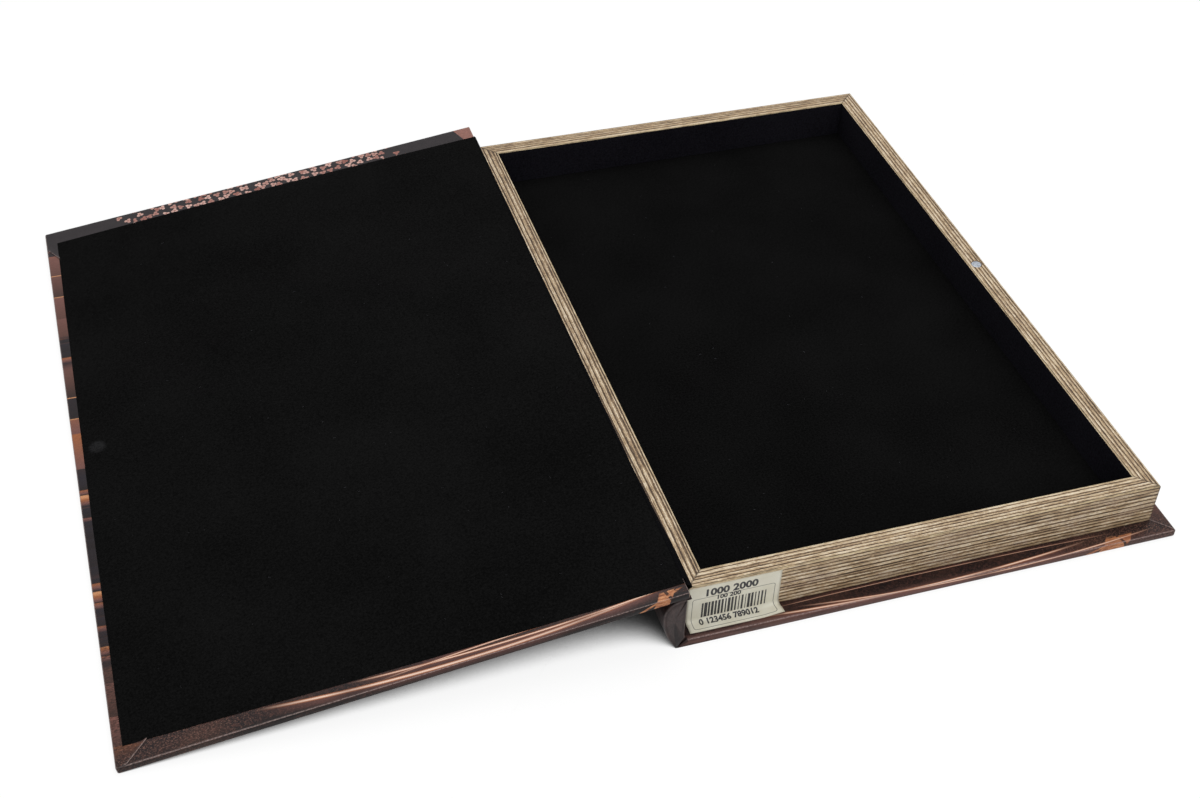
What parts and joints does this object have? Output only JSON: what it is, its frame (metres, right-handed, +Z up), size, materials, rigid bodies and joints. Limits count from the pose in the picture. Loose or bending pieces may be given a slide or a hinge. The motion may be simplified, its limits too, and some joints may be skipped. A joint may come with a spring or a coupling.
{
  "type": "book box",
  "caption": "Book-shaped storage box: a felt-lined tray with page-effect walls on a covered back board, and a felt-lined front cover hinged along a rounded spine.",
  "frame": {"origin": "centre of the tray's plan, on the table plane that the covered back board rests on", "axes": "+X from the spine to the fore edge, +Y from tail to head along the hinge, +Z up out of the tray"},
  "size_m": [0.4306, 0.331, 0.0311],
  "materials": {
    "mdf": "matte",
    "printed_covering": "satin",
    "dark_covering": "satin",
    "page_foil": "satin",
    "grey_card": "matte",
    "black_felt": "matte",
    "hinge_cloth": "matte",
    "nickel": "satin",
    "label_paper": "satin"
  },
  "bodies": {
    "case": {"back_board": "mdf", "back_skin": "printed_covering", "spine_core": "mdf", "spine_skin": "dark_covering", "tail_wall": "mdf", "head_wall": "mdf", "fore_edge_wall": "mdf", "spine_wall": "mdf", "tail_page_foil": "page_foil", "head_page_foil": "page_foil", "fore_edge_page_foil": "page_foil", "spine_page_foil": "page_foil", "floor_card": "grey_card", "floor_felt": "black_felt", "tail_lining": "black_felt", "head_lining": "black_felt", "fore_edge_lining": "black_felt", "spine_lining": "black_felt", "rim_magnet": "nickel", "stock_label": "label_paper", "joint_skin": "dark_covering", "joint_cloth": "hinge_cloth"},
    "front_cover": {"front_board": "mdf", "front_skin": "printed_covering", "cover_felt": "black_felt", "cover_magnet": "nickel"}
  },
  "joints": [
    {"name": "cover_hinge", "type": "hinge", "parent": "case", "child": "front_cover", "pos_m": [-0.105, 0, 0.0273], "axis": [0, 1, 0], "range_deg": [0, 187.29], "deforming": ["joint_skin", "joint_cloth"]}
  ]
}
